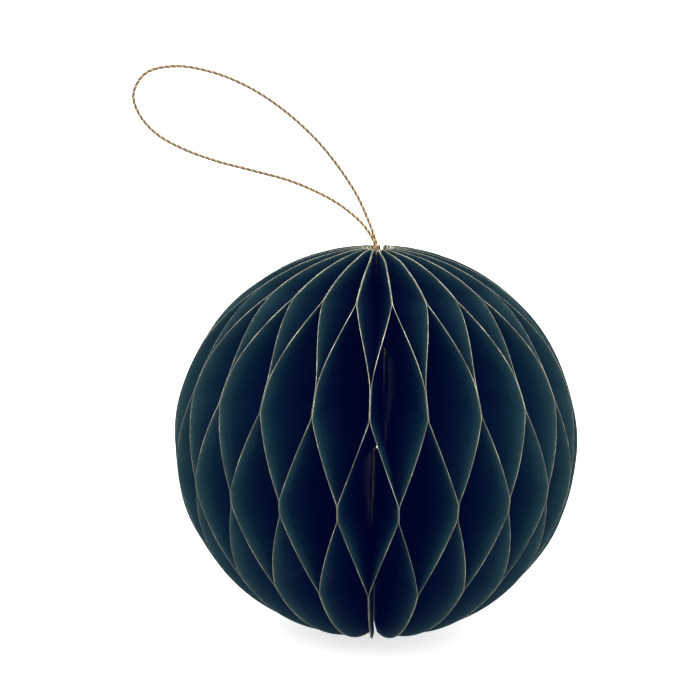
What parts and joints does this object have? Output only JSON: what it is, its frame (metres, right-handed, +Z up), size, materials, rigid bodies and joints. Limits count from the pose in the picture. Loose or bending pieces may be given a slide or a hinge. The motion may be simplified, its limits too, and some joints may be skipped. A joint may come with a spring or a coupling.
{
  "type": "paper honeycomb ball",
  "caption": "Paper honeycomb ball of glued half-disc leaves that fans out of a flat stack, closes with magnets and hangs from a cord loop.",
  "frame": {"origin": "on the ball's axis at the top pole, where the cord loop leaves the paper and the ball hangs from it", "axes": "+Z up along the ball's axis, about which the leaves fan; the seam between the two covers lies at the back, about 6 degrees past +Y towards -X"},
  "size_m": [0.1106, 0.0998, 0.1417],
  "materials": {
    "teal_paper": "matte",
    "teal_card": "matte",
    "magnet_nickel": "satin",
    "gold_cord": "satin"
  },
  "bodies": {
    "first_cover_side": {"first_cover": "teal_card", "first_magnet": "magnet_nickel", "hanging_cord": "gold_cord", "cord_knot": "gold_cord"},
    "leaf_01_side": {"leaf_01": "teal_paper"},
    "leaf_02_side": {"leaf_02": "teal_paper"},
    "leaf_03_side": {"leaf_03": "teal_paper"},
    "leaf_04_side": {"leaf_04": "teal_paper"},
    "leaf_05_side": {"leaf_05": "teal_paper"},
    "leaf_06_side": {"leaf_06": "teal_paper"},
    "leaf_07_side": {"leaf_07": "teal_paper"},
    "leaf_08_side": {"leaf_08": "teal_paper"},
    "leaf_09_side": {"leaf_09": "teal_paper"},
    "leaf_10_side": {"leaf_10": "teal_paper"},
    "leaf_11_side": {"leaf_11": "teal_paper"},
    "leaf_12_side": {"leaf_12": "teal_paper"},
    "leaf_13_side": {"leaf_13": "teal_paper"},
    "leaf_14_side": {"leaf_14": "teal_paper"},
    "leaf_15_side": {"leaf_15": "teal_paper"},
    "leaf_16_side": {"leaf_16": "teal_paper"},
    "leaf_17_side": {"leaf_17": "teal_paper"},
    "leaf_18_side": {"leaf_18": "teal_paper"},
    "leaf_19_side": {"leaf_19": "teal_paper"},
    "leaf_20_side": {"leaf_20": "teal_paper"},
    "leaf_21_side": {"leaf_21": "teal_paper"},
    "leaf_22_side": {"leaf_22": "teal_paper"},
    "leaf_23_side": {"leaf_23": "teal_paper"},
    "leaf_24_side": {"leaf_24": "teal_paper"},
    "leaf_25_side": {"leaf_25": "teal_paper"},
    "leaf_26_side": {"leaf_26": "teal_paper"},
    "leaf_27_side": {"leaf_27": "teal_paper"},
    "leaf_28_side": {"leaf_28": "teal_paper"},
    "leaf_29_side": {"leaf_29": "teal_paper"},
    "leaf_30_side": {"leaf_30": "teal_paper"},
    "leaf_31_side": {"leaf_31": "teal_paper"},
    "leaf_32_side": {"leaf_32": "teal_paper"},
    "leaf_33_side": {"leaf_33": "teal_paper"},
    "leaf_34_side": {"leaf_34": "teal_paper"},
    "leaf_35_side": {"leaf_35": "teal_paper"},
    "leaf_36_side": {"leaf_36": "teal_paper"},
    "leaf_37_side": {"leaf_37": "teal_paper"},
    "leaf_38_side": {"leaf_38": "teal_paper"},
    "leaf_39_side": {"leaf_39": "teal_paper"},
    "leaf_40_side": {"leaf_40": "teal_paper"},
    "leaf_41_side": {"leaf_41": "teal_paper"},
    "leaf_42_side": {"leaf_42": "teal_paper"},
    "leaf_43_side": {"leaf_43": "teal_paper"},
    "last_cover_side": {"leaf_44": "teal_paper", "last_cover": "teal_card", "last_magnet": "magnet_nickel"}
  },
  "joints": [
    {"name": "fold_01", "type": "hinge", "parent": "first_cover_side", "child": "leaf_01_side", "pos_m": [-0.00026, 0.00145, -0.049], "axis": [0, 0, 1], "range_deg": [-8.18, 0], "deforming": ["leaf_01"]},
    {"name": "fold_02", "type": "hinge", "parent": "leaf_01_side", "child": "leaf_02_side", "pos_m": [-0.00046, 0.0014, -0.049], "axis": [0, 0, 1], "range_deg": [-8.18, 0], "deforming": ["leaf_02"]},
    {"name": "fold_03", "type": "hinge", "parent": "leaf_02_side", "child": "leaf_03_side", "pos_m": [-0.00066, 0.00132, -0.049], "axis": [0, 0, 1], "range_deg": [-8.18, 0], "deforming": ["leaf_03"]},
    {"name": "fold_04", "type": "hinge", "parent": "leaf_03_side", "child": "leaf_04_side", "pos_m": [-0.00084, 0.00121, -0.049], "axis": [0, 0, 1], "range_deg": [-8.18, 0], "deforming": ["leaf_04"]},
    {"name": "fold_05", "type": "hinge", "parent": "leaf_04_side", "child": "leaf_05_side", "pos_m": [-0.001, 0.00108, -0.049], "axis": [0, 0, 1], "range_deg": [-8.18, 0], "deforming": ["leaf_05"]},
    {"name": "fold_06", "type": "hinge", "parent": "leaf_05_side", "child": "leaf_06_side", "pos_m": [-0.00115, 0.00092, -0.049], "axis": [0, 0, 1], "range_deg": [-8.18, 0], "deforming": ["leaf_06"]},
    {"name": "fold_07", "type": "hinge", "parent": "leaf_06_side", "child": "leaf_07_side", "pos_m": [-0.00127, 0.00075, -0.049], "axis": [0, 0, 1], "range_deg": [-8.18, 0], "deforming": ["leaf_07"]},
    {"name": "fold_08", "type": "hinge", "parent": "leaf_07_side", "child": "leaf_08_side", "pos_m": [-0.00136, 0.00056, -0.049], "axis": [0, 0, 1], "range_deg": [-8.18, 0], "deforming": ["leaf_08"]},
    {"name": "fold_09", "type": "hinge", "parent": "leaf_08_side", "child": "leaf_09_side", "pos_m": [-0.00143, 0.00036, -0.049], "axis": [0, 0, 1], "range_deg": [-8.18, 0], "deforming": ["leaf_09"]},
    {"name": "fold_10", "type": "hinge", "parent": "leaf_09_side", "child": "leaf_10_side", "pos_m": [-0.00146, 0.00016, -0.049], "axis": [0, 0, 1], "range_deg": [-8.18, 0], "deforming": ["leaf_10"]},
    {"name": "fold_11", "type": "hinge", "parent": "leaf_10_side", "child": "leaf_11_side", "pos_m": [-0.00147, -0.00005, -0.049], "axis": [0, 0, 1], "range_deg": [-8.18, 0], "deforming": ["leaf_11"]},
    {"name": "fold_12", "type": "hinge", "parent": "leaf_11_side", "child": "leaf_12_side", "pos_m": [-0.00145, -0.00026, -0.049], "axis": [0, 0, 1], "range_deg": [-8.18, 0], "deforming": ["leaf_12"]},
    {"name": "fold_13", "type": "hinge", "parent": "leaf_12_side", "child": "leaf_13_side", "pos_m": [-0.0014, -0.00046, -0.049], "axis": [0, 0, 1], "range_deg": [-8.18, 0], "deforming": ["leaf_13"]},
    {"name": "fold_14", "type": "hinge", "parent": "leaf_13_side", "child": "leaf_14_side", "pos_m": [-0.00132, -0.00066, -0.049], "axis": [0, 0, 1], "range_deg": [-8.18, 0], "deforming": ["leaf_14"]},
    {"name": "fold_15", "type": "hinge", "parent": "leaf_14_side", "child": "leaf_15_side", "pos_m": [-0.00121, -0.00084, -0.049], "axis": [0, 0, 1], "range_deg": [-8.18, 0], "deforming": ["leaf_15"]},
    {"name": "fold_16", "type": "hinge", "parent": "leaf_15_side", "child": "leaf_16_side", "pos_m": [-0.00108, -0.001, -0.049], "axis": [0, 0, 1], "range_deg": [-8.18, 0], "deforming": ["leaf_16"]},
    {"name": "fold_17", "type": "hinge", "parent": "leaf_16_side", "child": "leaf_17_side", "pos_m": [-0.00092, -0.00115, -0.049], "axis": [0, 0, 1], "range_deg": [-8.18, 0], "deforming": ["leaf_17"]},
    {"name": "fold_18", "type": "hinge", "parent": "leaf_17_side", "child": "leaf_18_side", "pos_m": [-0.00075, -0.00127, -0.049], "axis": [0, 0, 1], "range_deg": [-8.18, 0], "deforming": ["leaf_18"]},
    {"name": "fold_19", "type": "hinge", "parent": "leaf_18_side", "child": "leaf_19_side", "pos_m": [-0.00056, -0.00136, -0.049], "axis": [0, 0, 1], "range_deg": [-8.18, 0], "deforming": ["leaf_19"]},
    {"name": "fold_20", "type": "hinge", "parent": "leaf_19_side", "child": "leaf_20_side", "pos_m": [-0.00036, -0.00143, -0.049], "axis": [0, 0, 1], "range_deg": [-8.18, 0], "deforming": ["leaf_20"]},
    {"name": "fold_21", "type": "hinge", "parent": "leaf_20_side", "child": "leaf_21_side", "pos_m": [-0.00016, -0.00146, -0.049], "axis": [0, 0, 1], "range_deg": [-8.18, 0], "deforming": ["leaf_21"]},
    {"name": "fold_22", "type": "hinge", "parent": "leaf_21_side", "child": "leaf_22_side", "pos_m": [0.00005, -0.00147, -0.049], "axis": [0, 0, 1], "range_deg": [-8.18, 0], "deforming": ["leaf_22"]},
    {"name": "fold_23", "type": "hinge", "parent": "leaf_22_side", "child": "leaf_23_side", "pos_m": [0.00026, -0.00145, -0.049], "axis": [0, 0, 1], "range_deg": [-8.18, 0], "deforming": ["leaf_23"]},
    {"name": "fold_24", "type": "hinge", "parent": "leaf_23_side", "child": "leaf_24_side", "pos_m": [0.00046, -0.0014, -0.049], "axis": [0, 0, 1], "range_deg": [-8.18, 0], "deforming": ["leaf_24"]},
    {"name": "fold_25", "type": "hinge", "parent": "leaf_24_side", "child": "leaf_25_side", "pos_m": [0.00066, -0.00132, -0.049], "axis": [0, 0, 1], "range_deg": [-8.18, 0], "deforming": ["leaf_25"]},
    {"name": "fold_26", "type": "hinge", "parent": "leaf_25_side", "child": "leaf_26_side", "pos_m": [0.00084, -0.00121, -0.049], "axis": [0, 0, 1], "range_deg": [-8.18, 0], "deforming": ["leaf_26"]},
    {"name": "fold_27", "type": "hinge", "parent": "leaf_26_side", "child": "leaf_27_side", "pos_m": [0.001, -0.00108, -0.049], "axis": [0, 0, 1], "range_deg": [-8.18, 0], "deforming": ["leaf_27"]},
    {"name": "fold_28", "type": "hinge", "parent": "leaf_27_side", "child": "leaf_28_side", "pos_m": [0.00115, -0.00092, -0.049], "axis": [0, 0, 1], "range_deg": [-8.18, 0], "deforming": ["leaf_28"]},
    {"name": "fold_29", "type": "hinge", "parent": "leaf_28_side", "child": "leaf_29_side", "pos_m": [0.00127, -0.00075, -0.049], "axis": [0, 0, 1], "range_deg": [-8.18, 0], "deforming": ["leaf_29"]},
    {"name": "fold_30", "type": "hinge", "parent": "leaf_29_side", "child": "leaf_30_side", "pos_m": [0.00136, -0.00056, -0.049], "axis": [0, 0, 1], "range_deg": [-8.18, 0], "deforming": ["leaf_30"]},
    {"name": "fold_31", "type": "hinge", "parent": "leaf_30_side", "child": "leaf_31_side", "pos_m": [0.00143, -0.00036, -0.049], "axis": [0, 0, 1], "range_deg": [-8.18, 0], "deforming": ["leaf_31"]},
    {"name": "fold_32", "type": "hinge", "parent": "leaf_31_side", "child": "leaf_32_side", "pos_m": [0.00146, -0.00016, -0.049], "axis": [0, 0, 1], "range_deg": [-8.18, 0], "deforming": ["leaf_32"]},
    {"name": "fold_33", "type": "hinge", "parent": "leaf_32_side", "child": "leaf_33_side", "pos_m": [0.00147, 0.00005, -0.049], "axis": [0, 0, 1], "range_deg": [-8.18, 0], "deforming": ["leaf_33"]},
    {"name": "fold_34", "type": "hinge", "parent": "leaf_33_side", "child": "leaf_34_side", "pos_m": [0.00145, 0.00026, -0.049], "axis": [0, 0, 1], "range_deg": [-8.18, 0], "deforming": ["leaf_34"]},
    {"name": "fold_35", "type": "hinge", "parent": "leaf_34_side", "child": "leaf_35_side", "pos_m": [0.0014, 0.00046, -0.049], "axis": [0, 0, 1], "range_deg": [-8.18, 0], "deforming": ["leaf_35"]},
    {"name": "fold_36", "type": "hinge", "parent": "leaf_35_side", "child": "leaf_36_side", "pos_m": [0.00132, 0.00066, -0.049], "axis": [0, 0, 1], "range_deg": [-8.18, 0], "deforming": ["leaf_36"]},
    {"name": "fold_37", "type": "hinge", "parent": "leaf_36_side", "child": "leaf_37_side", "pos_m": [0.00121, 0.00084, -0.049], "axis": [0, 0, 1], "range_deg": [-8.18, 0], "deforming": ["leaf_37"]},
    {"name": "fold_38", "type": "hinge", "parent": "leaf_37_side", "child": "leaf_38_side", "pos_m": [0.00108, 0.001, -0.049], "axis": [0, 0, 1], "range_deg": [-8.18, 0], "deforming": ["leaf_38"]},
    {"name": "fold_39", "type": "hinge", "parent": "leaf_38_side", "child": "leaf_39_side", "pos_m": [0.00092, 0.00115, -0.049], "axis": [0, 0, 1], "range_deg": [-8.18, 0], "deforming": ["leaf_39"]},
    {"name": "fold_40", "type": "hinge", "parent": "leaf_39_side", "child": "leaf_40_side", "pos_m": [0.00075, 0.00127, -0.049], "axis": [0, 0, 1], "range_deg": [-8.18, 0], "deforming": ["leaf_40"]},
    {"name": "fold_41", "type": "hinge", "parent": "leaf_40_side", "child": "leaf_41_side", "pos_m": [0.00056, 0.00136, -0.049], "axis": [0, 0, 1], "range_deg": [-8.18, 0], "deforming": ["leaf_41"]},
    {"name": "fold_42", "type": "hinge", "parent": "leaf_41_side", "child": "leaf_42_side", "pos_m": [0.00036, 0.00143, -0.049], "axis": [0, 0, 1], "range_deg": [-8.18, 0], "deforming": ["leaf_42"]},
    {"name": "fold_43", "type": "hinge", "parent": "leaf_42_side", "child": "leaf_43_side", "pos_m": [0.00016, 0.00146, -0.049], "axis": [0, 0, 1], "range_deg": [-8.18, 0], "deforming": ["leaf_43"]},
    {"name": "fold_44", "type": "hinge", "parent": "leaf_43_side", "child": "last_cover_side", "pos_m": [-0.00005, 0.00147, -0.049], "axis": [0, 0, 1], "range_deg": [-8.18, 0], "deforming": ["leaf_44"]}
  ],
  "couplings": [
    {"joint": "fold_02", "follows": "fold_01", "ratio": 1},
    {"joint": "fold_03", "follows": "fold_01", "ratio": 1},
    {"joint": "fold_04", "follows": "fold_01", "ratio": 1},
    {"joint": "fold_05", "follows": "fold_01", "ratio": 1},
    {"joint": "fold_06", "follows": "fold_01", "ratio": 1},
    {"joint": "fold_07", "follows": "fold_01", "ratio": 1},
    {"joint": "fold_08", "follows": "fold_01", "ratio": 1},
    {"joint": "fold_09", "follows": "fold_01", "ratio": 1},
    {"joint": "fold_10", "follows": "fold_01", "ratio": 1},
    {"joint": "fold_11", "follows": "fold_01", "ratio": 1},
    {"joint": "fold_12", "follows": "fold_01", "ratio": 1},
    {"joint": "fold_13", "follows": "fold_01", "ratio": 1},
    {"joint": "fold_14", "follows": "fold_01", "ratio": 1},
    {"joint": "fold_15", "follows": "fold_01", "ratio": 1},
    {"joint": "fold_16", "follows": "fold_01", "ratio": 1},
    {"joint": "fold_17", "follows": "fold_01", "ratio": 1},
    {"joint": "fold_18", "follows": "fold_01", "ratio": 1},
    {"joint": "fold_19", "follows": "fold_01", "ratio": 1},
    {"joint": "fold_20", "follows": "fold_01", "ratio": 1},
    {"joint": "fold_21", "follows": "fold_01", "ratio": 1},
    {"joint": "fold_22", "follows": "fold_01", "ratio": 1},
    {"joint": "fold_23", "follows": "fold_01", "ratio": 1},
    {"joint": "fold_24", "follows": "fold_01", "ratio": 1},
    {"joint": "fold_25", "follows": "fold_01", "ratio": 1},
    {"joint": "fold_26", "follows": "fold_01", "ratio": 1},
    {"joint": "fold_27", "follows": "fold_01", "ratio": 1},
    {"joint": "fold_28", "follows": "fold_01", "ratio": 1},
    {"joint": "fold_29", "follows": "fold_01", "ratio": 1},
    {"joint": "fold_30", "follows": "fold_01", "ratio": 1},
    {"joint": "fold_31", "follows": "fold_01", "ratio": 1},
    {"joint": "fold_32", "follows": "fold_01", "ratio": 1},
    {"joint": "fold_33", "follows": "fold_01", "ratio": 1},
    {"joint": "fold_34", "follows": "fold_01", "ratio": 1},
    {"joint": "fold_35", "follows": "fold_01", "ratio": 1},
    {"joint": "fold_36", "follows": "fold_01", "ratio": 1},
    {"joint": "fold_37", "follows": "fold_01", "ratio": 1},
    {"joint": "fold_38", "follows": "fold_01", "ratio": 1},
    {"joint": "fold_39", "follows": "fold_01", "ratio": 1},
    {"joint": "fold_40", "follows": "fold_01", "ratio": 1},
    {"joint": "fold_41", "follows": "fold_01", "ratio": 1},
    {"joint": "fold_42", "follows": "fold_01", "ratio": 1},
    {"joint": "fold_43", "follows": "fold_01", "ratio": 1},
    {"joint": "fold_44", "follows": "fold_01", "ratio": 1}
  ]
}
